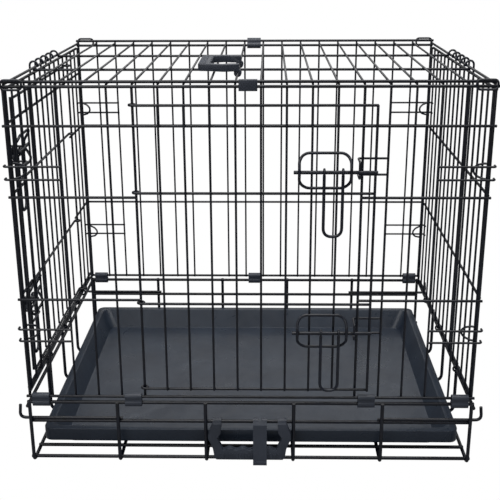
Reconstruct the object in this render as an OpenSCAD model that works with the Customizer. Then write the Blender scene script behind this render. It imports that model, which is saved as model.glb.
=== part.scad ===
// Folding wire dog crate: a deep wire base with a drop-in pan, two long panels, two end panels,
// a lid, a door in the front and a door in the left end, each door with two slide bolts.
// X runs along the crate, the front with the large door faces -Y, Z is up from the ground.
// Every welded panel is wires that bite a little into each other where they cross.

/* [Crate] */
// Length of the crate between the outsides of its corner wires
crate_length = 610; // [540:5:760]
// Depth of the crate between its front and back panel wires
crate_depth = 475; // [400:5:560]
// Height of the front panel's top wire above the ground
crate_height = 525; // [480:5:620]
// Height of the base's top wire above the ground
base_height = 92; // [84:1:104]

/* [Wire] */
// Diameter of the upright panel wires
upright_d = 3; // [2.4:0.1:3.4]
// Diameter of the level panel wires
level_d = 3.6; // [3:0.1:4]
// Diameter of the wires round a panel's edge
edge_d = 4; // [3.4:0.1:4.2]
// Diameter of the base wires
base_d = 5; // [4:0.1:5.4]
// How deep two welded wires bite into each other
weld_bite = 0.4; // [0.2:0.05:0.6]

/* [Grid] */
// Spaces between uprights along the length
long_spaces = 19; // [17:1:23]
// Spaces between uprights across an end
end_spaces = 15; // [13:1:17]
// First front upright that frames the doorway
front_jamb = 5; // [4:1:6]
// First end upright that frames the doorway, counted from the back
end_jamb = 3; // [2:1:3]
// Spaces across the front doorway
door_spaces = 9; // [8:1:10]
// Spaces across the end doorway
end_door_spaces = 10; // [8:1:10]

/* [Doors] */
// Height of the wire over both doorways
doorway_top = 476; // [460:1:480]
// Height of the upper middle wire of the panels
upper_wire = 384; // [375:1:386]
// Height of the lower middle wire of the panels
lower_wire = 243.5; // [243:0.5:260]
// Gap between a door's level wires and the jamb behind them
door_gap = 0.8; // [0.6:0.1:1.4]

/* [Latch] */
// Diameter of the slide bolt
bolt_d = 4.8; // [4:0.1:5]
// Length of the slide bolt
bolt_length = 105; // [100:1:112]
// How far the bolt slides back
bolt_travel = 26; // [20:1:27]
// Width of the wire loop that carries the bolt
loop_width = 64.6; // [62:0.2:70]
// Height of the wire loop that carries the bolt
loop_height = 45; // [40:1:48]
// Length of the hanging bolt handle below the bolt
pull_length = 86; // [60:1:88]

/* [Pan] */
// Height of the pan from its floor to its rim
pan_height = 32; // [24:1:36]
// Thickness of the pan's plastic
pan_wall = 2.4; // [1.8:0.1:3]
// Gap between the pan's rim and the panel wires
pan_gap = 11; // [8:0.5:14]

/* [Handles] */
// Distance between the two rings of a carrying handle
handle_rings = 89.6; // [84:0.2:92]
// Drop of a carrying handle from its wire to its outer edge
handle_drop = 53; // [50:1:54]

/* [Hidden] */
$fn = 28;

// Radii and weld spacings
upright_r = upright_d / 2;
level_r = level_d / 2;
edge_r = edge_d / 2;
base_r = base_d / 2;
thin_r = 1.5;
bend_ball = 1.12;
bend_trim = 0.45;
weld = upright_r + level_r - weld_bite;
base_weld = base_d - 2 * weld_bite;
stub = 1.2;

// Plan of the crate: the corner wires' axes and the panel planes
post_x = crate_length / 2 - edge_r;
wall_y = crate_depth / 2;
long_pitch = 2 * post_x / long_spaces;
level_y = wall_y + weld;
base_y = level_y;
upright_y = base_y + base_weld;
end_x = post_x + weld;
end_inset = 9;
end_half = wall_y - end_inset;
end_pitch = 2 * end_half / end_spaces;

// Heights
ground_z = base_r * bend_ball;
floor_z = ground_z + base_weld;
mid_z = 0.69 * base_height;
end_wire_z = base_height - base_weld;
left_rod_r = 2;
left_rod_z = base_height + 9;
panel_foot = base_height + 9;
back_rise = 5.5;
lid_cross_z = crate_height + 2;
lid_low_z = lid_cross_z - weld;
lid_front_z = lid_cross_z + weld;
end_top_z = lid_low_z - edge_r - level_r - 1.2;
corner_pairs = [doorway_top - 52, doorway_top - 69, lower_wire - 43.5, lower_wire - 60.5];

// Hinge rings of the end panels
ring_wire = 1.5;
right_ring_r = base_r + 0.5 + ring_wire;
left_ring_r = left_rod_r + 1.3 + ring_wire;
right_foot = end_wire_z + right_ring_r + ring_wire + edge_r - 0.6;
left_foot = left_rod_z + left_ring_r + ring_wire + edge_r - 0.6;
ring_spaces = [3.5, 8.5, 12.5];

// Doors: distances out from the plane of the uprights
jamb_r = 1.75;
door_level_out = jamb_r + door_gap + level_r;
door_upright_out = max(door_level_out + weld, weld + level_r + 0.9 + upright_r);
door_foot = panel_foot + 13;
door_head = doorway_top + 26;
door_levels = [door_head, upper_wire + 6, lower_wire - 4.8, door_foot];
door_ring_r = jamb_r + 0.35 + level_r;

// Latches
pull_r = 2;
eye_r = bolt_d / 2 + 0.15 + thin_r;
bolt_out = door_upright_out + upright_r + 0.7 + eye_r + thin_r;
bolt_zs = [upper_wire + 36, lower_wire - 41.5];
loop_rise = 1.3;
loop_r = 1.9;
loop_back_out = door_upright_out + upright_r + loop_r - weld_bite;
loop_side_out = bolt_out + bolt_d / 2 + 0.4 + loop_r;
loop_from_edge = 63.5;
pull_from_edge = 52.8;
bolt_past_edge = 2.2;
pull_half = 11.75;
keeper_out = bolt_out + bolt_d / 2 + 0.5 + thin_r;
keeper_rise = 14;

// Plastic clips
clip_width = 23;
clip_wall = 3;

// Carrying handle
handle_ring_out = 3.6;
handle_gap = 1.2;

// Pan
pan_z = floor_z + base_r + 0.4;
pan_x = post_x - pan_gap;
pan_y = wall_y - pan_gap;

// The outermost points, from which the origin is centred under the crate
hook_reach = 18.3;
rod_reach = post_x + hook_reach;
back_reach = upright_y + base_r * bend_ball;
face_reach = max(keeper_out + thin_r * bend_ball, loop_side_out + loop_r * bend_ball);
front_reach = wall_y + face_reach;
left_reach = max(rod_reach, post_x + face_reach);
to_centre = [(left_reach - rod_reach) / 2, (front_reach - back_reach) / 2, 0];

wire_black = "#20242c";
wire_satin = "#2c313b";
plastic_black = "#24272d";
pan_grey = "#4a4f57";

// ---- wires -------------------------------------------------------------------------------------

function long_x(k) = -post_x + k * long_pitch;
function end_u(k) = -end_half + k * end_pitch;

// A straight wire between two points
module wire(a, b, r) {
    d = b - a;
    n = norm(d);
    turn = atan2(d.y, d.x);
    tilt = acos(d.z / n);
    translate(a) rotate([0, tilt, turn]) cylinder(h = n, r = r);
}

// The straight of a bent wire, which stops short inside the round joints at its bends
module bent_part(a, b, r, trim_a, trim_b) {
    u = (b - a) / norm(b - a);
    wire(a + u * trim_a, b - u * trim_b, r);
}

// The round joint at a bend, turned so that its poles and seam lie clear of both straights
module bend_joint(p, before, after, r) {
    u = (before - p) / norm(before - p);
    v = (after - p) / norm(after - p);
    up = cross(u, v) / norm(cross(u, v));
    out = -(u + v) / norm(u + v);
    side = cross(up, out);
    multmatrix([[out[0], side[0], up[0], p[0]], [out[1], side[1], up[1], p[1]],
            [out[2], side[2], up[2], p[2]], [0, 0, 0, 1]])
        sphere(r = r * bend_ball, $fn = 24);
}

// A bent wire through a list of points, with a full round joint at each bend of up to 45 degrees
module bent_wire(points, r) {
    last = len(points) - 1;
    for (i = [0 : last - 1])
        bent_part(points[i], points[i + 1], r, i == 0 ? 0 : r * bend_trim, i + 1 == last ? 0 : r * bend_trim);
    for (i = [1 : last - 1])
        bend_joint(points[i], points[i - 1], points[i + 1], r);
}

// The same points with every corner cut back, so a right angle becomes two half bends
function eased(p, cut) = concat([p[0]],
    [for (i = [1 : len(p) - 2]) for (q = [p[i - 1], p[i + 1]]) p[i] + cut * (q - p[i]) / norm(q - p[i])],
    [p[len(p) - 1]]);

// A bent wire whose end meets its start
module closed_wire(points, r) {
    n = len(points);
    for (i = [0 : n - 1]) {
        bent_part(points[i], points[(i + 1) % n], r, r * bend_trim, r * bend_trim);
        bend_joint(points[i], points[(i + n - 1) % n], points[(i + 1) % n], r);
    }
}

// Points of an arc in a plane given by two directions
function arc(c, r, from, to, u, v, steps = 6) =
    [for (i = [0 : steps]) let (a = from + (to - from) * i / steps) c + r * (cos(a) * u + sin(a) * v)];

// A round wire ring about an axis along X, Y or Z
module ring_x(c, ring, r) {
    translate(c) rotate([0, 90, 0]) rotate_extrude($fn = 40) translate([ring, 0]) circle(r);
}

module ring_y(c, ring, r) {
    translate(c) rotate([90, 0, 0]) rotate_extrude($fn = 40) translate([ring, 0]) circle(r);
}

module ring_z(c, ring, r) {
    translate(c) rotate_extrude($fn = 40) translate([ring, 0]) circle(r);
}

module along_x(x0, x1, y, z, r) {
    translate([x0, y, z]) rotate([0, 90, 0]) cylinder(h = x1 - x0, r = r);
}

module along_y(x, y0, y1, z, r) {
    translate([x, y0, z]) rotate([-90, 0, 0]) cylinder(h = y1 - y0, r = r);
}

module along_z(x, y, z0, z1, r) {
    translate([x, y, z0]) cylinder(h = z1 - z0, r = r);
}

// Puts a piece drawn for the front on the left end
module on_left() {
    rotate([0, 0, -90]) children();
}

// ---- base --------------------------------------------------------------------------------------

base_uprights = [-post_x, -0.6 * post_x, -0.2 * post_x, 0.2 * post_x, 0.6 * post_x, post_x];
floor_rows = 4;
floor_pitch = 0.2211 * wall_y;
elbow = 9;

// A floor wire that runs under the pan and turns up at both ends
module turned_up_y(x, top) {
    bent_wire(concat([[x, -upright_y, top]],
        arc([x, -upright_y + elbow, ground_z + elbow], elbow, 180, 270, [0, 1, 0], [0, 0, 1], 2),
        arc([x, upright_y - elbow, ground_z + elbow], elbow, 270, 360, [0, 1, 0], [0, 0, 1], 2),
        [[x, upright_y, top]]), base_r);
}

end_upright_x = end_x + base_weld;

module turned_up_x(y) {
    bend = 12;
    left = arc([-end_upright_x + bend, y, floor_z + bend], bend, 180, 270, [1, 0, 0], [0, 0, 1], 2);
    right = arc([end_upright_x - bend, y, floor_z + bend], bend, 270, 360, [1, 0, 0], [0, 0, 1], 2);
    bent_wire(concat([[-end_upright_x, y, left_rod_z - 3.2]], left, right,
        [[end_upright_x, y, end_wire_z + stub]]), base_r);
}

// Floor wires that run from front to back and turn up at both ends
module base_cross_wires() {
    color(wire_black)
        for (x = base_uprights)
            turned_up_y(x, base_height + stub);
}

// Floor wires that run along the crate and turn up outside its ends, with rings round the left rod
module base_end_wires() {
    color(wire_black)
        for (k = [-2, 0, 2]) {
            turned_up_x(k * floor_pitch);
            ring_y([-end_x, k * floor_pitch, left_rod_z], left_rod_r + 0.05 + ring_wire, ring_wire);
        }
}

// The straight wires of the base's sides and floor
module base_rails() {
    color(wire_black) {
        for (s = [-1, 1]) {
            along_x(-end_x - stub, end_x + stub, s * base_y, floor_z, base_r);
            along_x(-post_x - stub, post_x + stub, s * base_y, mid_z, base_r);
            along_x(-end_x - stub, end_x + stub, s * base_y, base_height, base_r);
            along_y(s * end_x, -upright_y - stub, upright_y + stub, end_wire_z, base_r);
        }
        for (k = [-floor_rows : floor_rows])
            if (abs(k) % 2 == 1 || abs(k) == 4)
                along_x(-post_x - stub, post_x + stub, k * floor_pitch, floor_z, base_r);
    }
}

// Rods that double the base's level wire beside each corner and end in an upturned hook
module base_corner_rods() {
    rod_r = 2.2;
    bend = 8;
    inner = 0.6 * post_x - 6;
    tip = rod_reach - rod_r * bend_ball;
    z = mid_z + base_r + rod_r - weld_bite;
    color(wire_black)
        for (sx = [-1, 1], sy = [-1, 1])
            bent_wire(concat([[sx * inner, sy * base_y, z]],
                arc([sx * (tip - bend), sy * base_y, z + bend], bend, -90, 0, [sx, 0, 0], [0, 0, 1], 2),
                [[sx * (tip - 2), sy * base_y, z + 20]]), rod_r);
}

// A moulded clip round the base's top wire and the foot wire of a long panel
module hinge_clip(x, y) {
    difference() {
        union() {
            along_x(x - clip_width / 2, x + clip_width / 2, y, base_height, base_r + clip_wall);
            along_x(x - clip_width / 2, x + clip_width / 2, y, panel_foot, edge_r + clip_wall);
            translate([x - clip_width / 2, y - edge_r - clip_wall + 0.6, base_height])
                cube([clip_width, 2 * (edge_r + clip_wall - 0.6), panel_foot - base_height]);
        }
        along_x(x - clip_width, x + clip_width, y, base_height, base_r + 0.05);
        along_x(x - clip_width, x + clip_width, y, panel_foot, edge_r + 0.08);
    }
}

module base_front_clips() {
    color(plastic_black)
        for (k = [0.5, front_jamb - 0.5, long_spaces - front_jamb + 0.5, long_spaces - 0.5])
            hinge_clip(long_x(k), -base_y);
}

module base_back_clips() {
    color(plastic_black)
        for (k = [0.5, floor(long_spaces / 2) + 0.5, long_spaces - 0.5])
            hinge_clip(long_x(k), base_y);
}

module left_hinge_rod() {
    color(wire_satin)
        along_y(-end_x, -end_half, end_half, left_rod_z, left_rod_r);
}

// ---- pan ---------------------------------------------------------------------------------------

module pan_block(x, y, z0, h, r) {
    hull()
        for (sx = [-1, 1], sy = [-1, 1])
            translate([sx * (x - r), sy * (y - r), z0]) cylinder(h = h, r = r, $fn = 32);
}

// A tray that flares from its floor to its rim
module pan_flare(x0, y0, z0, x1, y1, z1, r) {
    hull() {
        pan_block(x0, y0, z0, 0.01, r);
        pan_block(x1, y1, z1, 0.01, r);
    }
}

module pan() {
    lip = 9;
    flare = 14;
    skirt = 18;
    top = pan_z + pan_height;
    x = pan_x - lip;
    y = pan_y - lip;
    color(pan_grey)
        difference() {
            union() {
                pan_flare(x - flare, y - flare, pan_z, x, y, top - pan_wall, 16);
                pan_block(pan_x, pan_y, top - pan_wall - 2, pan_wall + 2, 12);
                difference() {
                    pan_block(pan_x, pan_y, top - skirt, skirt - 1, 12);
                    pan_block(pan_x - pan_wall, pan_y - pan_wall, top - skirt - 1, skirt - 1.4, 10);
                }
            }
            pan_flare(x - flare - pan_wall, y - flare - pan_wall, pan_z + pan_wall,
                x - pan_wall + 1, y - pan_wall + 1, top + 1, 14);
        }
}

// ---- long panels -------------------------------------------------------------------------------

// The short pairs of wires beside each corner, with their ends bent round the corner wire
module corner_pair_wires(side, out_y) {
    y = side * out_y;
    back = -side * 8;
    for (z = corner_pairs, sx = [-1, 1])
        bent_wire(eased([[sx * (long_x(long_spaces - 2) - stub), y, z], [sx * (post_x + 7.4), y, z],
            [sx * (post_x + 7.4), y + back, z]], 3.4), thin_r);
}

module panel_corners(side, foot, top) {
    for (sx = [-1, 1])
        along_z(sx * post_x, side * wall_y, foot - stub, top + stub, edge_r);
}

module front_panel() {
    last_jamb = front_jamb + door_spaces;
    y = -level_y;
    color(wire_black) {
        panel_corners(-1, panel_foot, crate_height);
        for (k = [1 : long_spaces - 1])
            if (k <= front_jamb || k >= last_jamb)
                along_z(long_x(k), -wall_y, panel_foot - stub, crate_height + stub,
                    k == front_jamb || k == last_jamb ? jamb_r : upright_r);
            else
                along_z(long_x(k), -wall_y, doorway_top - stub, crate_height + stub, upright_r);
        along_x(-end_x - stub, end_x + stub, y, panel_foot, edge_r);
        along_x(-end_x - stub, end_x + stub, y, crate_height, edge_r);
        along_x(-end_x - stub, end_x + stub, y, doorway_top, level_r);
        for (z = [upper_wire, lower_wire]) {
            along_x(-end_x - stub, long_x(front_jamb) + stub, y, z, level_r);
            along_x(long_x(last_jamb) - stub, end_x + stub, y, z, level_r);
        }
        corner_pair_wires(-1, level_y - 0.5);
    }
}

module back_panel() {
    top = crate_height + back_rise;
    color(wire_black) {
        panel_corners(1, panel_foot, top);
        for (k = [1 : long_spaces - 1])
            along_z(long_x(k), wall_y, panel_foot - stub, top + stub, upright_r);
        for (z = [panel_foot, top])
            along_x(-end_x - stub, end_x + stub, level_y, z, edge_r);
        for (z = [upper_wire, lower_wire])
            along_x(-end_x - stub, end_x + stub, level_y, z, level_r);
        corner_pair_wires(1, level_y - 0.5);
    }
}

// A long wire link standing outside a panel's top corner
module corner_link(side, z) {
    reach = 13;
    rise = 6;
    y = side * (level_y + edge_r + thin_r - weld_bite);
    for (sx = [-1, 1]) {
        c = sx * (post_x - 12);
        path = concat(arc([c + reach - rise, y, z], rise, -90, 90, [1, 0, 0], [0, 0, 1], 4),
            arc([c - reach + rise, y, z], rise, 90, 270, [1, 0, 0], [0, 0, 1], 4));
        closed_wire(path, thin_r);
    }
}

module front_corner_links() {
    color(wire_satin) corner_link(-1, crate_height + 2.4);
}

module back_corner_links() {
    color(wire_satin) corner_link(1, crate_height + back_rise - 2.4);
}

// An open cradle on the front panel's top wire, which the lid's front wire drops into
module front_top_clip() {
    half = clip_width / 2;
    z0 = crate_height - edge_r - clip_wall;
    lid_y = wall_y - 4.5;
    color(plastic_black)
        difference() {
            union() {
                translate([-half, -level_y - edge_r - clip_wall, z0])
                    cube([clip_width, level_y - lid_y + clip_wall - 0.6, lid_front_z + 3.5 - z0]);
                translate([-half, -level_y, z0])
                    cube([clip_width, level_y - lid_y + edge_r, lid_front_z - edge_r - 0.6 - z0]);
            }
            along_x(-clip_width, clip_width, -level_y, crate_height, edge_r + 0.05);
        }
}

// ---- doors -------------------------------------------------------------------------------------
// A door is drawn in the plane of its panel: u runs along the panel, out is away from the crate.

module door(u0, pitch, plane, spaces) {
    width = (spaces + 0.5) * pitch;
    for (z = door_levels) {
        along_x(u0, u0 + width + stub, -plane - door_level_out, z, level_r);
        ring_z([u0, -plane, z], door_ring_r, level_r);
    }
    for (k = [1 : spaces - 1])
        along_z(u0 + k * pitch, -plane - door_upright_out, door_foot - stub, door_head + stub, upright_r);
    along_z(u0 + width, -plane - door_upright_out, door_foot - stub, door_head + stub, jamb_r);
}

// The rounded loop of wire that carries the bolt: its sides bow out over the bolt
module bolt_loop(edge_u, plane, z) {
    c = edge_u - loop_from_edge;
    hw = loop_width / 2;
    hh = loop_height / 2;
    back = -plane - loop_back_out;
    face = -plane - loop_side_out;
    corner = 10;
    function side(s, top) = [
        [c + s * (hw - corner), back, z + top * hh],
        [c + s * (hw - corner * 0.35), back - 0.8, z + top * (hh - corner * 0.35)],
        [c + s * hw, (back + face) / 2, z + top * (hh - corner)],
        [c + s * hw, face, z + top * 5]];
    path = concat(side(1, 1), [for (i = [3 : -1 : 0]) side(1, -1)[i]],
        side(-1, -1), [for (i = [3 : -1 : 0]) side(-1, 1)[i]]);
    closed_wire(path, loop_r);
}

module bolt(edge_u, plane, z) {
    along_x(edge_u + bolt_past_edge - bolt_length, edge_u + bolt_past_edge,
        -plane - bolt_out, z, bolt_d / 2);
}

// The hanging U of wire that turns the bolt, with an eye round the bolt at each end
module bolt_pull(edge_u, plane, z) {
    c = edge_u - pull_from_edge;
    y = -plane - bolt_out;
    end = z - pull_length + pull_half + pull_r;
    for (s = [-1, 1])
        ring_x([c + s * pull_half, y, z], eye_r, thin_r);
    bent_wire(concat([[c - pull_half, y, z - eye_r + 0.4]],
        arc([c, y, end], pull_half, 180, 360, [1, 0, 0], [0, 0, 1], 6),
        [[c + pull_half, y, z - eye_r + 0.4]]), pull_r);
}

// Two bent prongs welded inside the jamb that reach out round the bolt's end
module keeper(edge_u, pitch, plane, z) {
    jamb_u = edge_u - pitch / 2;
    in_y = -plane + jamb_r + thin_r - weld_bite;
    out_y = -plane - keeper_out;
    tip_u = jamb_u - jamb_r - thin_r - 1.8;
    gap = bolt_d / 2 + 0.8;
    bent_wire(eased([[jamb_u + pitch + stub, in_y, z + keeper_rise], [tip_u, in_y, z + keeper_rise],
        [tip_u, out_y, z + keeper_rise], [tip_u, out_y, z + gap]], 2.8), thin_r);
    bent_wire(eased([[jamb_u + pitch + stub, in_y, z - keeper_rise / 2], [tip_u, in_y, z - keeper_rise / 2],
        [tip_u, out_y, z - keeper_rise / 2], [tip_u, out_y, z - gap]], 2.8), thin_r);
}

front_hinge_u = long_x(front_jamb);
front_edge_u = front_hinge_u + (door_spaces + 0.5) * long_pitch;
left_hinge_u = end_u(end_jamb);
left_edge_u = left_hinge_u + (end_door_spaces + 0.5) * end_pitch;

module front_keepers() {
    color(wire_black)
        for (z = bolt_zs)
            keeper(front_edge_u, long_pitch, wall_y, z);
}

module left_keepers() {
    color(wire_black) on_left()
        for (z = bolt_zs)
            keeper(left_edge_u, end_pitch, post_x, z);
}

module front_door() {
    color(wire_black) door(front_hinge_u, long_pitch, wall_y, door_spaces);
}

module left_door() {
    color(wire_black) on_left() door(left_hinge_u, end_pitch, post_x, end_door_spaces);
}

module front_upper_loop() {
    color(wire_satin) bolt_loop(front_edge_u, wall_y, bolt_zs[0] + loop_rise);
}

module front_lower_loop() {
    color(wire_satin) bolt_loop(front_edge_u, wall_y, bolt_zs[1] + loop_rise);
}

module left_upper_loop() {
    color(wire_satin) on_left() bolt_loop(left_edge_u, post_x, bolt_zs[0] + loop_rise);
}

module left_lower_loop() {
    color(wire_satin) on_left() bolt_loop(left_edge_u, post_x, bolt_zs[1] + loop_rise);
}

module front_upper_bolt() {
    color(wire_satin) bolt(front_edge_u, wall_y, bolt_zs[0]);
}

module front_lower_bolt() {
    color(wire_satin) bolt(front_edge_u, wall_y, bolt_zs[1]);
}

module left_upper_bolt() {
    color(wire_satin) on_left() bolt(left_edge_u, post_x, bolt_zs[0]);
}

module left_lower_bolt() {
    color(wire_satin) on_left() bolt(left_edge_u, post_x, bolt_zs[1]);
}

module front_upper_pull() {
    color(wire_satin) bolt_pull(front_edge_u, wall_y, bolt_zs[0]);
}

module front_lower_pull() {
    color(wire_satin) bolt_pull(front_edge_u, wall_y, bolt_zs[1]);
}

module left_upper_pull() {
    color(wire_satin) on_left() bolt_pull(left_edge_u, post_x, bolt_zs[0]);
}

module left_lower_pull() {
    color(wire_satin) on_left() bolt_pull(left_edge_u, post_x, bolt_zs[1]);
}

// ---- end panels --------------------------------------------------------------------------------
// The right panel is drawn in place, the left one in the plane of the front and turned.

module right_panel() {
    color(wire_black) {
        for (k = [0 : end_spaces])
            along_z(post_x, end_u(k), right_foot - stub, end_top_z + stub,
                k == 0 || k == end_spaces ? edge_r : upright_r);
        for (z = [right_foot, end_top_z])
            along_y(end_x, -end_half - stub, end_half + stub, z, edge_r);
        for (z = [upper_wire, lower_wire])
            along_y(end_x, -end_half - stub, end_half + stub, z, level_r);
    }
}

module left_panel() {
    last_jamb = end_jamb + end_door_spaces;
    color(wire_black) on_left() {
        for (k = [0 : end_spaces])
            if (k <= end_jamb || k >= last_jamb)
                along_z(end_u(k), -post_x, left_foot - stub, end_top_z + stub,
                    k == 0 || k == end_spaces ? edge_r
                        : k == end_jamb || k == last_jamb ? jamb_r : upright_r);
            else
                along_z(end_u(k), -post_x, doorway_top - stub, end_top_z + stub, upright_r);
        for (z = [left_foot, end_top_z])
            along_x(-end_half - stub, end_half + stub, -end_x, z, edge_r);
        along_x(-end_half - stub, end_half + stub, -end_x, doorway_top, level_r);
        for (z = [upper_wire, lower_wire]) {
            along_x(-end_half - stub, end_u(end_jamb) + stub, -end_x, z, level_r);
            along_x(end_u(last_jamb) - stub, end_half + stub, -end_x, z, level_r);
        }
    }
}

module right_hinge_rings() {
    color(wire_satin)
        for (k = ring_spaces)
            ring_y([end_x, end_u(k), end_wire_z], right_ring_r, ring_wire);
}

module left_hinge_rings() {
    color(wire_satin)
        for (k = ring_spaces)
            ring_y([-end_x, end_u(k), left_rod_z], left_ring_r, ring_wire);
}

// Spring bows on an end panel's edge wires, which reach inside the corner
module corner_bows(sx) {
    bow = 18;
    for (sy = [-1, 1], pair = [0, 2]) {
        z = (corner_pairs[pair] + corner_pairs[pair + 1]) / 2;
        start = [sx * post_x, sy * end_half, z];
        in_dir = [-sx * cos(24), -sy * sin(24), 0];
        bent_wire([for (q = [[0, 10], [5, 10], [bow - 5, 7.5], [bow, 2.8], [bow, -2.8],
            [bow - 5, -7.5], [5, -10], [0, -10]]) start + in_dir * q[0] + [0, 0, q[1]]], thin_r);
    }
}

module right_corner_bows() {
    color(wire_satin) corner_bows(1);
}

module left_corner_bows() {
    color(wire_satin) corner_bows(-1);
}

// ---- lid ---------------------------------------------------------------------------------------

lid_front_y = wall_y - 4.5;
lid_back_y = wall_y - 8;
lid_rows = [-wall_y / 3, wall_y / 3];

module top_panel() {
    color(wire_black) {
        for (k = [0 : long_spaces])
            along_y(long_x(k), -lid_front_y - stub, lid_back_y + stub, lid_cross_z,
                k == 0 || k == long_spaces ? edge_r - 0.2 : upright_r);
        along_x(-end_x, end_x, -lid_front_y, lid_front_z, edge_r);
        along_x(-post_x - stub, post_x + stub, lid_back_y, lid_low_z, edge_r);
        for (y = lid_rows)
            along_x(-post_x - stub, post_x + stub, y, lid_low_z, level_r);
    }
}

// Hooks of wire over the lid's side edges, which stop an end panel's top from leaning out
module top_side_hooks() {
    hook_spaces = 32;
    hook = 5.6;
    out_x = end_x + edge_r + thin_r + 2.5;
    color(wire_satin)
        for (sx = [-1, 1], k = [-2 : 2]) {
            y = k * hook_spaces;
            c = [sx * (out_x - hook), y, lid_cross_z + 1.5];
            bent_wire(concat([[sx * (out_x - 2 * hook), y, lid_cross_z - 1]],
                arc(c, hook, 180, 0, [sx, 0, 0], [0, 0, 1], 4),
                [[sx * out_x, y, end_top_z - 4]]), thin_r);
        }
}

// The clip that joins the lid's back wire to the back panel's top wire, on which the lid turns
module top_back_clip() {
    half = clip_width / 2;
    top = crate_height + back_rise;
    color(plastic_black)
        difference() {
            union() {
                along_x(-half, half, level_y, top, edge_r + clip_wall);
                along_x(-half, half, lid_back_y, lid_low_z, edge_r + clip_wall);
                translate([-half, lid_back_y, lid_low_z - 1])
                    cube([clip_width, level_y - lid_back_y, top - lid_low_z + 3]);
            }
            along_x(-clip_width, clip_width, level_y, top, edge_r + 0.08);
            along_x(-clip_width, clip_width, lid_back_y, lid_low_z, edge_r + 0.05);
        }
}

// ---- carrying handles --------------------------------------------------------------------------

// Outline of a carrying handle hanging from its wire, drawn about the wire at the origin
module handle_outline() {
    ring = handle_rings / 2;
    drop = handle_drop;
    polygon(concat(
        [[-ring - 6, 2], [-ring - 12, -14], [-ring - 12.3, -20], [-ring - 6, -drop + 17],
            [-ring - 4, -drop + 3], [-ring - 1, -drop]],
        [[ring + 1, -drop], [ring + 4, -drop + 3], [ring + 6, -drop + 17], [ring + 12.3, -20],
            [ring + 12, -14], [ring + 6, 2], [ring - 6, 2], [ring - 5, -12],
            [ring, -20], [ring - 8, -drop + 14]],
        [for (i = [1 : 23]) let (t = i / 24)
            [ring - 8 - t * (2 * ring - 16), -drop + 14 + 1.6 * sin(t * 4 * 360 - 90) + 1.6]],
        [[-ring + 8, -drop + 14], [-ring, -20], [-ring + 5, -12], [-ring + 6, 2]]));
}

// A handle hangs in the plane just outside its wire, on two rings round the wire
module carry_handle(wire_r, out) {
    ring = handle_rings / 2;
    inner = wire_r + 0.3;
    thick = 9;
    rim = wire_r + handle_ring_out;
    difference() {
        union() {
            translate([0, -out, 0]) rotate([90, 0, 0]) linear_extrude(thick) handle_outline();
            for (s = [-1, 1])
                along_x(s * ring - 6, s * ring + 6, 0, 0, rim);
            for (s = [-1, 1])
                translate([s * ring - 6, -out - 2, -rim]) cube([12, out + 1, rim]);
            for (i = [-10 : 10])
                along_z(i * 4, -out - thick, -handle_drop + 1.5, -handle_drop + 10, 0.8);
        }
        for (s = [-1, 1])
            along_x(s * ring - 7, s * ring + 7, 0, 0, inner);
    }
}

base_handle_out = base_r + handle_gap;

module base_handle() {
    color(plastic_black)
        translate([0, -base_y, mid_z]) carry_handle(base_r, base_handle_out);
}

// A strap on the same wire that hangs in front of the handle and holds the folded crate shut
module base_clasp() {
    strap_x = 14.4;
    width = 19;
    front = base_handle_out + 9 + 1.8;
    rim = base_r + handle_ring_out;
    thick = 2.6;
    color(plastic_black)
        translate([strap_x, -base_y, mid_z])
            difference() {
                union() {
                    for (s = [-1, 1])
                        along_x(s * 6 - 3.4, s * 6 + 3.4, 0, 0, rim);
                    translate([-width / 2, -front - thick, -handle_drop - 5])
                        cube([width, thick, handle_drop + 5 + rim - 3]);
                    translate([-width / 2, -front - thick, rim - 3 - thick])
                        cube([width, front + thick, thick]);
                    translate([-width / 2, -front - thick - 2, -handle_drop - 5])
                        cube([width, 4, 5]);
                }
                along_x(-width, width, 0, 0, base_r + 0.3);
            }
}

top_handle_x = long_x(floor(long_spaces / 2));
top_handle_y = -87;

module top_handle() {
    out = upright_r + handle_gap;
    color(plastic_black)
        translate([top_handle_x, top_handle_y, lid_cross_z])
            rotate([0, 0, -90]) rotate([-90, 0, 0]) carry_handle(upright_r, out);
}

// ---- the crate ---------------------------------------------------------------------------------

translate(to_centre) base_cross_wires();
translate(to_centre) base_end_wires();
translate(to_centre) base_rails();
translate(to_centre) base_corner_rods();
translate(to_centre) base_front_clips();
translate(to_centre) base_back_clips();
translate(to_centre) left_hinge_rod();
translate(to_centre) pan();
translate(to_centre) base_handle();
translate(to_centre) base_clasp();
translate(to_centre) front_panel();
translate(to_centre) front_keepers();
translate(to_centre) front_corner_links();
translate(to_centre) front_top_clip();
translate(to_centre) front_door();
translate(to_centre) front_upper_loop();
translate(to_centre) front_lower_loop();
translate(to_centre) front_upper_bolt();
translate(to_centre) front_upper_pull();
translate(to_centre) front_lower_bolt();
translate(to_centre) front_lower_pull();
translate(to_centre) back_panel();
translate(to_centre) back_corner_links();
translate(to_centre) top_panel();
translate(to_centre) top_side_hooks();
translate(to_centre) top_back_clip();
translate(to_centre) top_handle();
translate(to_centre) right_panel();
translate(to_centre) right_hinge_rings();
translate(to_centre) right_corner_bows();
translate(to_centre) left_panel();
translate(to_centre) left_hinge_rings();
translate(to_centre) left_corner_bows();
translate(to_centre) left_keepers();
translate(to_centre) left_door();
translate(to_centre) left_upper_loop();
translate(to_centre) left_lower_loop();
translate(to_centre) left_upper_bolt();
translate(to_centre) left_upper_pull();
translate(to_centre) left_lower_bolt();
translate(to_centre) left_lower_pull();
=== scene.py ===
import bpy, math
from mathutils import Matrix, Vector


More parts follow.
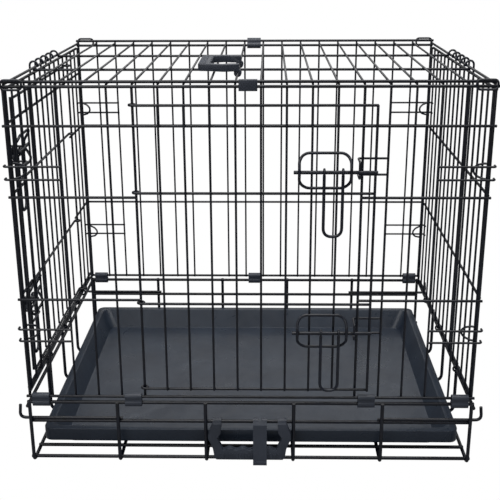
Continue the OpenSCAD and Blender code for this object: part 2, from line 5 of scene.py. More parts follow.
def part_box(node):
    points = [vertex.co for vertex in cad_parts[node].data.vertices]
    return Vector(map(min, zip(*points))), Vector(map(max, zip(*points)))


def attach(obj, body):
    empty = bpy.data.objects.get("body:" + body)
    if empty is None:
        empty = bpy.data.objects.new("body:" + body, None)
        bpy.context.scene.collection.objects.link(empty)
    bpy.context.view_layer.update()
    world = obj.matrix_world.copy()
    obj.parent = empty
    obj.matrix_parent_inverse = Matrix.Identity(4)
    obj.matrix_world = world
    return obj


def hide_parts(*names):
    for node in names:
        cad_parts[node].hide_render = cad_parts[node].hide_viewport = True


# A folding wire dog crate: welded panels of coated wire, a grey pan and black moulded fittings.
# Lengths below are millimetres, with X along the crate, the front at -Y and Z up from the ground.
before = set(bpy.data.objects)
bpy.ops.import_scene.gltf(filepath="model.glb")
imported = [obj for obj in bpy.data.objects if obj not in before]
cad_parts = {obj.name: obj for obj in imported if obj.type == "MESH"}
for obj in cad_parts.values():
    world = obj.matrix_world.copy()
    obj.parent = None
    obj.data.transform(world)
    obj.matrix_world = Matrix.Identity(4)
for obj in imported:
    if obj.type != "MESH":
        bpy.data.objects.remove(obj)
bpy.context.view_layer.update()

MM = 0.001

# Radii of the wires
UPRIGHT = 1.5
LEVEL = 1.8
EDGE = 2.0
BASE = 2.5
THIN = 1.5
JAMB = 1.75
CORNER_ROD = 2.2
HINGE_ROD = 2.0
BOLT = 2.4
LOOP = 1.9
PULL = 2.0

# Welds: how far two crossing wires sink into each other, and the distance between their axes
BITE = 0.4
WELD = UPRIGHT + LEVEL - BITE
BASE_WELD = 2 * BASE - 2 * BITE
# How far a cut wire runs on past its last crossing
STUB = 1.2

# Plan: corner wires, panel planes, and the pitch of the uprights
POST_X = 303.0
WALL_Y = 237.5
LEVEL_Y = WALL_Y + WELD
END_X = POST_X + WELD
UP_Y = LEVEL_Y + BASE_WELD
UP_X = END_X + BASE_WELD
END_HALF = WALL_Y - 9
LONG_SPACES = 19
END_SPACES = 15
LONG_PITCH = 2 * POST_X / LONG_SPACES
END_PITCH = 2 * END_HALF / END_SPACES

# Heights of the base
GROUND = 2.8
FLOOR = GROUND + BASE_WELD
BASE_TOP = 92.0
BASE_MID = 0.69 * BASE_TOP
END_WIRE = BASE_TOP - BASE_WELD

# Heights of the panels' level wires
FOOT = BASE_TOP + 9
FRONT_TOP = 525.0
BACK_TOP = FRONT_TOP + 5.5
LID = FRONT_TOP + 2
LID_LOW = LID - WELD
LID_HIGH = LID + WELD
END_TOP = LID_LOW - EDGE - LEVEL - 1.2
DOOR_TOP = 476.0
UPPER = 384.0
LOWER = 243.5
# The short pairs of wires beside each corner
PAIRS = ((DOOR_TOP - 52, DOOR_TOP - 69), (LOWER - 43.5, LOWER - 60.5))

# Rings that hinge the end panels on the base's wire at the right and on the hinge rod at the left
RIGHT_RING = BASE + 0.5 + THIN
LEFT_RING = HINGE_ROD + 1.3 + THIN
RIGHT_FOOT = END_WIRE + RIGHT_RING + THIN + EDGE - 0.6
LEFT_FOOT = FOOT + LEFT_RING + THIN + EDGE - 0.6

# Doorways: the upright that each door hangs on, and the door's width in spaces
FRONT_JAMB = 5
FRONT_SPACES = 9
LEFT_JAMB = 3
LEFT_SPACES = 10

# Doors and latches: distances out from the plane of the uprights
DOOR_LEVEL_OUT = JAMB + 0.8 + LEVEL
DOOR_UP_OUT = DOOR_LEVEL_OUT + WELD
BOLT_OUT = 15.0
LOOP_BACK = DOOR_UP_OUT + UPRIGHT + LOOP - BITE
LOOP_FACE = BOLT_OUT + BOLT + 0.4 + LOOP
KEEPER_OUT = BOLT_OUT + BOLT + 0.5 + THIN

# The crate's own centre in the frame, read from the left hinge rod, which lies along the middle
rod_low, rod_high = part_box("left_hinge_rod")
CENTRE = Vector(((rod_low[0] + rod_high[0]) / 2 / MM + END_X, (rod_low[1] + rod_high[1]) / 2 / MM, 0))


# ---- finishes ------------------------------------------------------------------------------------

def colour(code):
    """An sRGB hex colour as linear RGBA."""
    parts = [int(code[i:i + 2], 16) / 255 for i in (1, 3, 5)]
    return [p / 12.92 if p <= 0.04045 else ((p + 0.055) / 1.055) ** 2.4 for p in parts] + [1]


def add_node(owner, kind, values=(), links=(), **settings):
    """One node of a material or world, with its settings, its socket values and its incoming links."""
    node = owner.node_tree.nodes.new(kind)
    for name, value in settings.items():
        setattr(node, name, value)
    for socket, value in dict(values).items():
        node.inputs[socket].default_value = value
    for socket, (source, output) in dict(links).items():
        owner.node_tree.links.new(source.outputs[output], node.inputs[socket])
    return node


def new_finish(name):
    material = bpy.data.materials.new(name)
    material.use_nodes = True
    material.node_tree.nodes.clear()
    return material


def mottled(material, dark, light, scale, low, high):
    """A colour that drifts between two shades over the surface, in object space."""
    place = add_node(material, "ShaderNodeTexCoord")
    drift = add_node(material, "ShaderNodeTexNoise", {"Scale": scale, "Detail": 3.0, "Roughness": 0.55},
                     {"Vector": (place, "Object")})
    ramp = add_node(material, "ShaderNodeValToRGB", links={"Fac": (drift, "Fac")})
    first, last = ramp.color_ramp.elements
    first.position, last.position = low, high
    first.color, last.color = colour(dark), colour(light)
    return place, ramp


def coated_wire(name, dark, light, rough):
    """Electro-coated steel wire: a thin black epoxy, fairly glossy, with a slight orange peel."""
    material = new_finish(name)
    place, tint = mottled(material, dark, light, 60, 0.35, 0.7)
    # Orange peel about 1.2 mm from crest to crest, as coarse as still shows on a 3 mm wire
    peel = add_node(material, "ShaderNodeTexNoise", {"Scale": 850.0, "Detail": 2.0},
                    {"Vector": (place, "Object")})
    # Handling has dulled the coat in patches some 30 mm long
    wear = add_node(material, "ShaderNodeTexNoise", {"Scale": 33.0, "Detail": 4.0},
                    {"Vector": (place, "Object")})
    dull = add_node(material, "ShaderNodeMapRange",
                    {"From Min": 0.35, "From Max": 0.7, "To Min": rough, "To Max": rough + 0.14},
                    {"Value": (wear, "Fac")})
    bump = add_node(material, "ShaderNodeBump", {"Strength": 0.12, "Distance": 0.0003},
                    {"Height": (peel, "Fac")})
    shader = add_node(material, "ShaderNodeBsdfPrincipled",
                      {"IOR": 1.5, "Coat Weight": 0.35, "Coat Roughness": 0.16, "Coat IOR": 1.5},
                      {"Base Color": (tint, "Color"), "Roughness": (dull, "Result"),
                       "Normal": (bump, "Normal")})
    add_node(material, "ShaderNodeOutputMaterial", links={"Surface": (shader, "BSDF")})
    return material


def moulded(name, dark, light, rough, grain, depth):
    """Injection or sheet moulded plastic: even colour with a fine leathery grain from the tool."""
    material = new_finish(name)
    place, tint = mottled(material, dark, light, 14, 0.3, 0.75)
    cells = add_node(material, "ShaderNodeTexVoronoi", {"Scale": grain}, {"Vector": (place, "Object")})
    # Scuffs: soft patches some 40 mm across that leave the surface a little duller
    scuff = add_node(material, "ShaderNodeTexNoise", {"Scale": 24.0, "Detail": 5.0, "Distortion": 1.2},
                     {"Vector": (place, "Object")})
    dull = add_node(material, "ShaderNodeMapRange",
                    {"From Min": 0.3, "From Max": 0.75, "To Min": rough, "To Max": rough + 0.12},
                    {"Value": (scuff, "Fac")})
    bump = add_node(material, "ShaderNodeBump", {"Strength": 0.3, "Distance": depth},
                    {"Height": (cells, "Distance")})
    shader = add_node(material, "ShaderNodeBsdfPrincipled", {"IOR": 1.52},
                      {"Base Color": (tint, "Color"), "Roughness": (dull, "Result"),
                       "Normal": (bump, "Normal")})
    add_node(material, "ShaderNodeOutputMaterial", links={"Surface": (shader, "BSDF")})
    return material


# Panel wire: near black with a cold blue cast; the small formed wires are coated a shade lighter
PANEL_COAT = coated_wire("epoxy coated panel wire", "#0b0d16", "#151a28", 0.3)
FORMED_COAT = coated_wire("epoxy coated formed wire", "#0e111c", "#1a2030", 0.25)
# Black polypropylene, worn to a dark slate, with a grain about 0.7 mm across
BLACK_MOULDING = moulded("moulded black polypropylene", "#333842", "#454b57", 0.36, 1400.0, 0.0001)
# Slate ABS sheet, vacuum formed, with a grain about 1.2 mm across
PAN_SHEET = moulded("vacuum formed slate ABS", "#28303d", "#353f4d", 0.26, 800.0, 0.00012)


# ---- making pieces -------------------------------------------------------------------------------

# The wires of the piece being made, the blanks they are copied from, and the turn given to each
wires = []
blanks = {}
turned = Matrix.Identity(4)


def nothing_selected():
    bpy.ops.object.select_all(action="DESELECT")


def turned_in_metres(matrix):
    """A placing in the crate's millimetres, as one in the frame's metres."""
    placed = Matrix.Translation(CENTRE) @ turned @ matrix
    placed.translation = placed.translation * MM
    return placed


def facing(axis):
    """The turn that lays Z along an axis."""
    return Vector(axis).to_track_quat("Z", "X").to_matrix().to_4x4()


def wire_blank(radius):
    """A 2 mm length of wire about the origin, with the rims of its sheared ends rounded."""
    nothing_selected()
    bpy.ops.mesh.primitive_cylinder_add(vertices=16, radius=radius * MM, depth=2 * MM, location=(0, 0, 0))
    blank = bpy.context.active_object
    bpy.ops.object.mode_set(mode="EDIT")
    bpy.ops.mesh.select_all(action="DESELECT")
    bpy.ops.object.mode_set(mode="OBJECT")
    for edge in blank.data.edges:
        ends = [blank.data.vertices[v].co.z for v in edge.vertices]
        edge.select = abs(ends[0] - ends[1]) < 1e-7
    bpy.ops.object.mode_set(mode="EDIT")
    bpy.ops.mesh.bevel(offset=0.3 * radius * MM, segments=2, profile=0.5)
    bpy.ops.object.mode_set(mode="OBJECT")
    bpy.ops.object.shade_smooth_by_angle(angle=math.radians(50))
    mesh = blank.data.copy()
    bpy.data.objects.remove(blank)
    return mesh


def bead_blank():
    """The squeezed bead of metal where two wires were spot welded, of radius 1."""
    nothing_selected()
    bpy.ops.mesh.primitive_uv_sphere_add(segments=8, ring_count=5, radius=1.0, location=(0, 0, 0))
    blank = bpy.context.active_object
    bpy.ops.object.mode_set(mode="EDIT")
    bpy.ops.mesh.select_all(action="SELECT")
    bpy.ops.transform.resize(value=(1.0, 1.0, 0.62))
    bpy.ops.mesh.vertices_smooth(factor=0.3)
    bpy.ops.object.mode_set(mode="OBJECT")
    bpy.ops.object.shade_smooth()
    mesh = blank.data.copy()
    bpy.data.objects.remove(blank)
    return mesh


def put(mesh, matrix):
    """A copy of a blank, with its own mesh, set in place in millimetres."""
    copy = mesh.copy()
    copy.transform(turned_in_metres(matrix))
    piece = bpy.data.objects.new("wire", copy)
    bpy.context.scene.collection.objects.link(piece)
    wires.append(piece)


def rod(a, b, radius):
    """A straight wire from a to b."""
    a, b = Vector(a), Vector(b)
    length = (b - a).length
    if radius not in blanks:
        blanks[radius] = wire_blank(radius)
    mesh = blanks[radius].copy()
    for vertex in mesh.vertices:
        vertex.co.z += (length - 1) * MM if vertex.co.z > 0 else 1 * MM
    put(mesh, Matrix.Translation(a) @ facing(b - a))
    bpy.data.meshes.remove(mesh)


def bead(point, axis):
    """A weld bead between two wires, flat across the line that joins them."""
    if "bead" not in blanks:
        blanks["bead"] = bead_blank()
    radius = 1.75 * MM
    put(blanks["bead"], Matrix.Translation(Vector(point)) @ facing(axis)
        @ Matrix.Diagonal((radius, radius, radius, 1)))


def filleted(points, bend, closed=False):
    """The same route with each corner turned into a smooth arc of that radius."""
    points = [Vector(p) for p in points]
    count = len(points)
    route = [] if closed else [points[0]]
    for i in (range(count) if closed else range(1, count - 1)):
        here, before, after = points[i], points[i - 1], points[(i + 1) % count]
        u, v = (before - here), (after - here)
        angle = u.angle(v)
        reach = min(bend / math.tan(angle / 2), 0.49 * u.length, 0.49 * v.length)
        u, v = u.normalized(), v.normalized()
        start, finish = here + u * reach, here + v * reach
        steps = max(2, round((math.pi - angle) / math.radians(11)))
        for k in range(steps + 1):
            t = k / steps
            route.append((1 - t) ** 2 * start + 2 * t * (1 - t) * here + t ** 2 * finish)
    return route if closed else route + [points[-1]]


def bent(points, radius, bend, closed=False):
    """A wire bent along a route, drawn as a path with a round section and then made a mesh."""
    route = filleted(points, bend, closed)
    nothing_selected()
    bpy.ops.curve.primitive_nurbs_path_add(location=(0, 0, 0))
    curve = bpy.context.active_object
    curve.data.splines.clear()
    line = curve.data.splines.new("POLY")
    line.points.add(len(route) - 1)
    for point, place in zip(line.points, route):
        point.co = (*(place * MM), 1)
    line.use_cyclic_u = closed
    curve.data.bevel_depth = radius * MM
    curve.data.bevel_resolution = 4
    curve.data.use_fill_caps = not closed
    bpy.ops.object.convert(target="MESH")
    piece = bpy.context.active_object
    bpy.ops.object.shade_smooth_by_angle(angle=math.radians(50))
    piece.data.transform(turned_in_metres(Matrix.Identity(4)))
    wires.append(piece)


def ring(centre, around, major, minor):
    """A closed ring of wire about an axis."""
    nothing_selected()
    bpy.ops.mesh.primitive_torus_add(major_radius=major * MM, minor_radius=minor * MM,
                                     major_segments=32, minor_segments=12, location=(0, 0, 0))
    piece = bpy.context.active_object
    bpy.ops.object.shade_smooth()
    piece.data.transform(turned_in_metres(Matrix.Translation(Vector(centre)) @ facing(around)))
    wires.append(piece)


def stand_in(piece, body, node, coat):
    """Gives a piece its finish and ties it to its body and the frame's node."""
    piece.data.materials.clear()
    piece.data.materials.append(coat)
    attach(piece, body)
    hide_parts(node)


def finish_piece(node, body, coat):
    """Joins the wires made so far into one welded piece that stands for a node of the frame."""
    nothing_selected()
    for piece in wires:
        piece.select_set(True)
    bpy.context.view_layer.objects.active = wires[0]
    if len(wires) > 1:
        bpy.ops.object.join()
    piece = bpy.context.active_object
    piece.name = node.replace("_", "-")
    wires.clear()
    stand_in(piece, body, node, coat)


def panel_wire(node, body):
    finish_piece(node, body, PANEL_COAT)


def formed_wire(node, body):
    finish_piece(node, body, FORMED_COAT)


def softened(name, body, node, coat, width):
    """A copy of a moulded part with its arrises rounded, as they leave the mould."""
    nothing_selected()
    piece = bpy.data.objects.new(name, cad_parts[node].data.copy())
    bpy.context.scene.collection.objects.link(piece)
    piece.select_set(True)
    bpy.context.view_layer.objects.active = piece
    bpy.ops.object.mode_set(mode="EDIT")
    bpy.ops.mesh.select_all(action="SELECT")
    bpy.ops.mesh.remove_doubles(threshold=0.00001)
    bpy.ops.mesh.dissolve_limited(angle_limit=math.radians(1))
    bpy.ops.mesh.select_all(action="DESELECT")
    bpy.ops.mesh.edges_select_sharp(sharpness=math.radians(35))
    bpy.ops.mesh.bevel(offset=width * MM, segments=3, profile=0.5, clamp_overlap=True)
    bpy.ops.object.mode_set(mode="OBJECT")
    bpy.ops.object.shade_smooth_by_angle(angle=math.radians(32))
    stand_in(piece, body, node, coat)


def long_x(k):
    """Where upright k of a long panel stands, counted from the left corner."""
    return -POST_X + k * LONG_PITCH


def end_u(k):
    """Where upright k of an end panel stands, counted along the panel."""
    return -END_HALF + k * END_PITCH


# ---- the base ------------------------------------------------------------------------------------

CROSS_X = [share * POST_X for share in (-1, -0.6, -0.2, 0.2, 0.6, 1)]
# Floor wires run along the crate on this pitch from the middle; three of them turn up at the ends
FLOOR_PITCH = 0.2211 * WALL_Y
FLOOR_WIRES = range(-4, 5)
TURNED_UP = (-2, 0, 2)
ROD_RING = 3.55

for x in CROSS_X:
    bent([(x, -UP_Y, BASE_TOP + STUB), (x, -UP_Y, GROUND),
          (x, UP_Y, GROUND), (x, UP_Y, BASE_TOP + STUB)], BASE, 9)
panel_wire("base_cross_wires", "base")

for k in TURNED_UP:
    y = k * FLOOR_PITCH
    bent([(-UP_X, y, FOOT - 3.2), (-UP_X, y, FLOOR), (UP_X, y, FLOOR), (UP_X, y, END_WIRE + STUB)], BASE, 12)
    ring((-END_X, y, FOOT), (0, 1, 0), ROD_RING, THIN)
panel_wire("base_end_wires", "base")

for s in (-1, 1):
    for z, reach in ((FLOOR, END_X), (BASE_MID, POST_X), (BASE_TOP, END_X)):
        rod((-reach - STUB, s * LEVEL_Y, z), (reach + STUB, s * LEVEL_Y, z), BASE)
        for x in CROSS_X:
            bead((x, s * (LEVEL_Y + BASE_WELD / 2), z), (0, 1, 0))
    rod((s * END_X, -UP_Y - STUB, END_WIRE), (s * END_X, UP_Y + STUB, END_WIRE), BASE)
    for k in TURNED_UP:
        bead((s * (END_X + BASE_WELD / 2), k * FLOOR_PITCH, END_WIRE), (1, 0, 0))
for k in FLOOR_WIRES:
    y = k * FLOOR_PITCH
    if k not in TURNED_UP:
        rod((-POST_X - STUB, y, FLOOR), (POST_X + STUB, y, FLOOR), BASE)
    for x in CROSS_X:
        bead((x, y, (GROUND + FLOOR) / 2), (0, 0, 1))
panel_wire("base_rails", "base")

# The corner rods lie on the middle wires, run out past the corners and end in an upturned hook
ROD_START = 0.6 * POST_X - 6
ROD_TIP = POST_X + 18.3 - 1.12 * CORNER_ROD
ROD_Z = BASE_MID + BASE + CORNER_ROD - BITE
HOOK_LEAN = 2
HOOK_RISE = 20
for sx in (-1, 1):
    for sy in (-1, 1):
        bent([(sx * ROD_START, sy * LEVEL_Y, ROD_Z), (sx * ROD_TIP, sy * LEVEL_Y, ROD_Z),
              (sx * (ROD_TIP - HOOK_LEAN), sy * LEVEL_Y, ROD_Z + HOOK_RISE)], CORNER_ROD, 8)
panel_wire("base_corner_rods", "base")

rod((-END_X, -END_HALF, FOOT), (-END_X, END_HALF, FOOT), HINGE_ROD)
formed_wire("left_hinge_rod", "base")


# ---- long panels ---------------------------------------------------------------------------------

def corner_pairs(side):
    """The short wires beside each corner, with their ends bent in round the corner wire."""
    y = side * (LEVEL_Y - 0.5)
    past_post = POST_X + 7.4
    turned_in = y - side * 8
    inner = LONG_SPACES - 2
    for z in PAIRS[0] + PAIRS[1]:
        for sx in (-1, 1):
            bent([(sx * (long_x(inner) - STUB), y, z), (sx * past_post, y, z),
                  (sx * past_post, turned_in, z)], THIN, 4.5)
            for k in range(inner, LONG_SPACES + 1):
                bead((sx * long_x(k), side * (WALL_Y + 1.4), z), (0, 1, 0))


def grid(uprights, levels, plane, side):
    """Uprights (u, low, high, radius) crossed by levels (z, from, to, radius), with a bead at each weld."""
    for u, low, high, radius in uprights:
        rod((u, side * plane, low), (u, side * plane, high), radius)
    for z, start, end, radius in levels:
        rod((start, side * (plane + WELD), z), (end, side * (plane + WELD), z), radius)
        for u, low, high, _ in uprights:
            if start - 1 < u < end + 1 and low - 1 < z < high + 1:
                bead((u, side * (plane + WELD / 2), z), (0, 1, 0))


def full_width(reach, heights):
    """Level wires from one side of a panel to the other."""
    return [(z, -reach, reach, radius) for z, radius in heights]


def beside_doorway(reach, left_jamb, right_jamb):
    """The two level wires that stop at a doorway's jambs."""
    return [wire for z in (UPPER, LOWER)
            for wire in ((z, -reach, left_jamb + STUB, LEVEL), (z, right_jamb - STUB, reach, LEVEL))]


def corner_posts(top):
    return [(sx * POST_X, FOOT - STUB, top + STUB, EDGE) for sx in (-1, 1)]


LONG_REACH = END_X + STUB
last_jamb = FRONT_JAMB + FRONT_SPACES
uprights = corner_posts(FRONT_TOP)
for k in range(1, LONG_SPACES):
    over_door = FRONT_JAMB < k < last_jamb
    uprights.append((long_x(k), (DOOR_TOP if over_door else FOOT) - STUB, FRONT_TOP + STUB,
                     JAMB if k in (FRONT_JAMB, last_jamb) else UPRIGHT))
levels = full_width(LONG_REACH, ((FOOT, EDGE), (FRONT_TOP, EDGE), (DOOR_TOP, LEVEL)))
levels += beside_doorway(LONG_REACH, long_x(FRONT_JAMB), long_x(last_jamb))
grid(uprights, levels, WALL_Y, -1)
corner_pairs(-1)
panel_wire("front_panel", "front")

uprights = corner_posts(BACK_TOP)
uprights += [(long_x(k), FOOT - STUB, BACK_TOP + STUB, UPRIGHT) for k in range(1, LONG_SPACES)]
levels = full_width(LONG_REACH, ((FOOT, EDGE), (BACK_TOP, EDGE), (UPPER, LEVEL), (LOWER, LEVEL)))
grid(uprights, levels, WALL_Y, 1)
corner_pairs(1)
panel_wire("back_panel", "back")

# Oblong links at the top corners
LINK_HALF, LINK_RISE = 13, 6
for side, z, name in ((-1, FRONT_TOP + 2.4, "front"), (1, BACK_TOP - 2.4, "back")):
    y = side * (LEVEL_Y + EDGE + THIN - BITE)
    for sx in (-1, 1):
        x = sx * (POST_X - 12)
        bent([(x + LINK_HALF, y, z - LINK_RISE), (x + LINK_HALF, y, z + LINK_RISE),
              (x - LINK_HALF, y, z + LINK_RISE), (x - LINK_HALF, y, z - LINK_RISE)], THIN, 6, closed=True)
    formed_wire(name + "_corner_links", name)


# ---- end panels ----------------------------------------------------------------------------------

# Both end panels are laid out along the front and then turned to their end
LEFT_TURN = Matrix.Rotation(math.radians(-90), 4, "Z")
RIGHT_TURN = Matrix.Rotation(math.radians(90), 4, "Z")
END_REACH = END_HALF + STUB


def end_upright(k, foot, jambs):
    """Upright k of an end panel, which starts over the doorway if it stands between the jambs."""
    over_door = jambs and jambs[0] < k < jambs[1]
    radius = EDGE if k in (0, END_SPACES) else JAMB if k in jambs else UPRIGHT
    return (end_u(k), (DOOR_TOP if over_door else foot) - STUB, END_TOP + STUB, radius)


turned = RIGHT_TURN
uprights = [end_upright(k, RIGHT_FOOT, ()) for k in range(END_SPACES + 1)]
levels = full_width(END_REACH, ((RIGHT_FOOT, EDGE), (END_TOP, EDGE), (UPPER, LEVEL), (LOWER, LEVEL)))
grid(uprights, levels, POST_X, -1)
panel_wire("right_panel", "right_end")

turned = LEFT_TURN
jambs = (LEFT_JAMB, LEFT_JAMB + LEFT_SPACES)
uprights = [end_upright(k, LEFT_FOOT, jambs) for k in range(END_SPACES + 1)]
levels = full_width(END_REACH, ((LEFT_FOOT, EDGE), (END_TOP, EDGE), (DOOR_TOP, LEVEL)))
levels += beside_doorway(END_REACH, end_u(jambs[0]), end_u(jambs[1]))
grid(uprights, levels, POST_X, -1)
panel_wire("left_panel", "left_end")
turned = Matrix.Identity(4)

# Bows lean in from the corner wires; this is half of one, as how far in and how far above its middle
BOW = ((0, 10), (5, 10), (13, 7.5), (18, 2.8))
BOW_LEAN = math.radians(24)
bow_route = list(BOW) + [(out, -rise) for out, rise in reversed(BOW)]
for name, sx, z, size in (("right", 1, END_WIRE, RIGHT_RING), ("left", -1, FOOT, LEFT_RING)):
    for k in (3.5, 8.5, 12.5):
        ring((sx * END_X, end_u(k), z), (0, 1, 0), size, THIN)
    formed_wire(name + "_hinge_rings", name + "_end")
    for sy in (-1, 1):
        inward = Vector((-sx * math.cos(BOW_LEAN), -sy * math.sin(BOW_LEAN), 0))
        for pair in PAIRS:
            middle = Vector((sx * POST_X, sy * END_HALF, sum(pair) / 2))
            bent([middle + inward * out + Vector((0, 0, rise)) for out, rise in bow_route], THIN, 7)
    formed_wire(name + "_corner_bows", name + "_end")


# ---- doors and latches ---------------------------------------------------------------------------

DOOR_HEAD = DOOR_TOP + 26
DOOR_FOOT = FOOT + 13
DOOR_LEVELS = (DOOR_HEAD, UPPER + 6, LOWER - 4.8, DOOR_FOOT)
DOOR_RING = JAMB + 0.35 + LEVEL
BOLT_Z = (UPPER + 36, LOWER - 41.5)
BOLT_LENGTH = 105
BOLT_PAST_EDGE = 2.2
LOOP_FROM_EDGE = 63.5
LOOP_HALF = 32.3
LOOP_RISE = 22.5
PULL_FROM_EDGE = 52.8
PULL_HALF = 11.75
PULL_LENGTH = 86
PULL_EYE = BOLT + 0.15 + THIN


def door(hinge, pitch, plane, spaces):
    """A door laid out along the front: level wires ringed round the jamb, with uprights welded outside."""
    width = (spaces + 0.5) * pitch
    level_y = -plane - DOOR_LEVEL_OUT
    upright_y = -plane - DOOR_UP_OUT
    uprights = [(hinge + k * pitch, UPRIGHT) for k in range(1, spaces)] + [(hinge + width, JAMB)]
    for z in DOOR_LEVELS:
        rod((hinge, level_y, z), (hinge + width + STUB, level_y, z), LEVEL)
        ring((hinge, -plane, z), (0, 0, 1), DOOR_RING, LEVEL)
        for u, _ in uprights:
            bead((u, (level_y + upright_y) / 2, z), (0, 1, 0))
    for u, radius in uprights:
        rod((u, upright_y, DOOR_FOOT - STUB), (u, upright_y, DOOR_HEAD + STUB), radius)


def bolt_loop(edge, plane, z):
    """The rounded loop that carries a bolt, bowed out from the door's wires at both sides."""
    x, half, rise = edge - LOOP_FROM_EDGE, LOOP_HALF, LOOP_RISE
    back, face = -plane - LOOP_BACK, -plane - LOOP_FACE
    quarter = [(half - 10, back, rise), (half - 3.5, back - 0.4, rise - 3.5),
               (half, (back + face) / 2, rise - 10), (half, face, 5)]
    route = [(x + u, y, z + v) for u, y, v in quarter] + [(x + u, y, z - v) for u, y, v in reversed(quarter)]
    route += [(x - u, y, z - v) for u, y, v in quarter] + [(x - u, y, z + v) for u, y, v in reversed(quarter)]
    bent(route, LOOP, 12, closed=True)


def bolt_pull(edge, plane, z):
    """The U of wire that hangs from a bolt by two eyes."""
    x, y = edge - PULL_FROM_EDGE, -plane - BOLT_OUT
    for s in (-1, 1):
        ring((x + s * PULL_HALF, y, z), (1, 0, 0), PULL_EYE, THIN)
    top = z - PULL_EYE + BITE
    low = z - PULL_LENGTH + PULL
    bent([(x - PULL_HALF, y, top), (x - PULL_HALF, y, low), (x + PULL_HALF, y, low), (x + PULL_HALF, y, top)],
         PULL, PULL_HALF)


def keeper(edge, pitch, plane, z):
    """The two prongs on the panel that the bolt's tip slides between, reached round the jamb."""
    jamb = edge - pitch / 2
    inside, outside = -plane + JAMB + THIN - BITE, -plane - KEEPER_OUT
    tip = jamb - JAMB - THIN - 1.8
    for arm, end in ((14, 3.2), (-7, -3.2)):
        bent([(jamb + pitch + STUB, inside, z + arm), (tip, inside, z + arm), (tip, outside, z + arm),
              (tip, outside, z + end)], THIN, 3)


for name, owner, turn, hinge, pitch, plane, spaces in (
        ("front", "front", Matrix.Identity(4), long_x(FRONT_JAMB), LONG_PITCH, WALL_Y, FRONT_SPACES),
        ("left", "left_end", LEFT_TURN, end_u(LEFT_JAMB), END_PITCH, POST_X, LEFT_SPACES)):
    turned = turn
    edge = hinge + (spaces + 0.5) * pitch
    door(hinge, pitch, plane, spaces)
    panel_wire(name + "_door", name + "_door")
    for z in BOLT_Z:
        keeper(edge, pitch, plane, z)
    panel_wire(name + "_keepers", owner)
    for z, level in zip(BOLT_Z, ("upper", "lower")):
        tag = name + "_" + level
        bolt_loop(edge, plane, z + 1.3)
        formed_wire(tag + "_loop", name + "_door")
        tip, y = edge + BOLT_PAST_EDGE, -plane - BOLT_OUT
        rod((tip - BOLT_LENGTH, y, z), (tip, y, z), BOLT)
        formed_wire(tag + "_bolt", tag + "_bolt")
        bolt_pull(edge, plane, z)
        formed_wire(tag + "_pull", tag + "_pull")
turned = Matrix.Identity(4)


# ---- the lid -------------------------------------------------------------------------------------

LID_FRONT = WALL_Y - 4.5
LID_BACK = WALL_Y - 8
LID_MIDDLES = (-WALL_Y / 3, WALL_Y / 3)

for k in range(LONG_SPACES + 1):
    x = long_x(k)
    rod((x, -LID_FRONT - STUB, LID), (x, LID_BACK + STUB, LID), LEVEL if k in (0, LONG_SPACES) else UPRIGHT)
    bead((x, -LID_FRONT, LID + WELD / 2), (0, 0, 1))
    for y in (*LID_MIDDLES, LID_BACK):
        bead((x, y, LID - WELD / 2), (0, 0, 1))
rod((-END_X, -LID_FRONT, LID_HIGH), (END_X, -LID_FRONT, LID_HIGH), EDGE)
rod((-POST_X - STUB, LID_BACK, LID_LOW), (POST_X + STUB, LID_BACK, LID_LOW), EDGE)
for y in LID_MIDDLES:
    rod((-POST_X - STUB, y, LID_LOW), (POST_X + STUB, y, LID_LOW), LEVEL)
panel_wire("top_panel", "lid")

# Hooks along each side arch over the lid's end wire and down outside the end panel
HOOK_OUT = END_X + EDGE + THIN + 2.5
HOOK_RADIUS = 5.6
HOOK_PITCH = 32
HOOK_STEPS = 8
for sx in (-1, 1):
    for k in range(-2, 3):
        y = k * HOOK_PITCH
        arch = [Vector((sx * (HOOK_OUT - 2 * HOOK_RADIUS), y, LID - 1))]
        for step in range(HOOK_STEPS + 1):
            swing = math.pi - math.pi * step / HOOK_STEPS
            arch.append(Vector((sx * (HOOK_OUT - HOOK_RADIUS + HOOK_RADIUS * math.cos(swing)), y,
                                LID + 1.5 + HOOK_RADIUS * math.sin(swing))))
        arch.append(Vector((sx * HOOK_OUT, y, END_TOP - 4)))
        bent(arch, THIN, 5)
formed_wire("top_side_hooks", "lid")


# ---- mouldings -----------------------------------------------------------------------------------

for node, body, width in (("base_front_clips", "base", 0.7), ("base_back_clips", "base", 0.7),
                          ("front_top_clip", "front", 0.6), ("top_back_clip", "lid", 0.6),
                          ("base_handle", "base_handle", 0.5), ("top_handle", "top_handle", 0.5),
                          ("base_clasp", "clasp", 0.4)):
    softened(node.replace("_", "-"), body, node, BLACK_MOULDING, width)
softened("pan-sheet", "pan", "pan", PAN_SHEET, 0.8)

for mesh in blanks.values():
    bpy.data.meshes.remove(mesh)


# ---- floor, light and camera ---------------------------------------------------------------------

nothing_selected()
bpy.ops.mesh.primitive_plane_add(size=400, location=(0, 0, 0))
floor = bpy.context.active_object
floor.name = "floor"
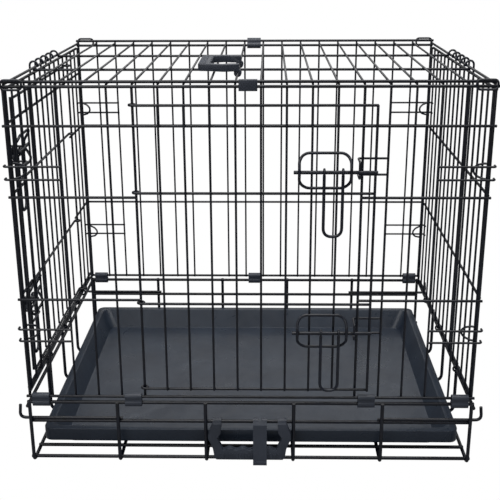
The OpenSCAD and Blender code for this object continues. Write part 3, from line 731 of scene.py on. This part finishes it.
# Backlit paper: plain white to the camera, and a soft grey to everything that stands on it
paper = new_finish("white seamless paper")
sheet = add_node(paper, "ShaderNodeBsdfPrincipled", {"Base Color": colour("#8a8c90"), "Roughness": 0.95})
backlight = add_node(paper, "ShaderNodeEmission", {"Color": colour("#ffffff"), "Strength": 1.0})
eye = add_node(paper, "ShaderNodeLightPath")
blend = add_node(paper, "ShaderNodeMixShader",
                 links={"Fac": (eye, "Is Camera Ray"), 1: (sheet, "BSDF"), 2: (backlight, "Emission")})
add_node(paper, "ShaderNodeOutputMaterial", links={"Surface": (blend, "Shader")})
floor.data.materials.append(paper)

# The studio is dim except for its lamps, so the wires stay black; the camera sees its walls white
world = bpy.data.worlds.new("white studio")
bpy.context.scene.world = world
world.use_nodes = True
world.node_tree.nodes.clear()
eye = add_node(world, "ShaderNodeLightPath")
glow = add_node(world, "ShaderNodeMapRange", {"To Min": 0.17, "To Max": 1.0},
                {"Value": (eye, "Is Camera Ray")})
walls = add_node(world, "ShaderNodeBackground", {"Color": colour("#ffffff")}, {"Strength": (glow, "Result")})
add_node(world, "ShaderNodeOutputWorld", links={"Surface": (walls, "Background")})


def soft_light(name, place, aim, size, power):
    """A square softbox, placed and aimed in metres."""
    bpy.ops.object.light_add(type="AREA", location=place)
    lamp = bpy.context.active_object
    lamp.name = name
    lamp.data.size = size
    lamp.data.energy = power
    lamp.rotation_euler = (Vector(aim) - Vector(place)).to_track_quat("-Z", "Y").to_euler()


soft_light("overhead softbox", (0.0, -0.3, 2.4), (0, 0, 0.3), 2.4, 46)
soft_light("front softbox", (-1.2, -2.4, 1.6), (0, 0, 0.3), 1.6, 10)
# Behind the crate: its sheen lies on the pan's floor and leaves the pan's walls darker
soft_light("rear softbox", (0.0, 2.6, 1.6), (0, 0, 0.0), 1.6, 5)

camera_data = bpy.data.cameras.new("camera")
camera = bpy.data.objects.new("camera", camera_data)
bpy.context.scene.collection.objects.link(camera)
camera_data.sensor_width = 36
camera_data.lens = 66.07
pitch, yaw, roll = (math.radians(a) for a in (18.70, 1.22, 0.26))
look = Vector((-math.sin(yaw) * math.cos(pitch), math.cos(yaw) * math.cos(pitch), -math.sin(pitch)))
right = Vector((math.cos(yaw), math.sin(yaw), 0))
up = right.cross(look)
right, up = math.cos(roll) * right - math.sin(roll) * up, math.sin(roll) * right + math.cos(roll) * up
stand = (Vector((25.6, -1367.3, 695.4)) + CENTRE) * MM
camera.matrix_world = Matrix.Translation(stand) @ Matrix((right, up, -look)).transposed().to_4x4()
bpy.context.scene.camera = camera
bpy.context.scene.view_settings.view_transform = "Standard"
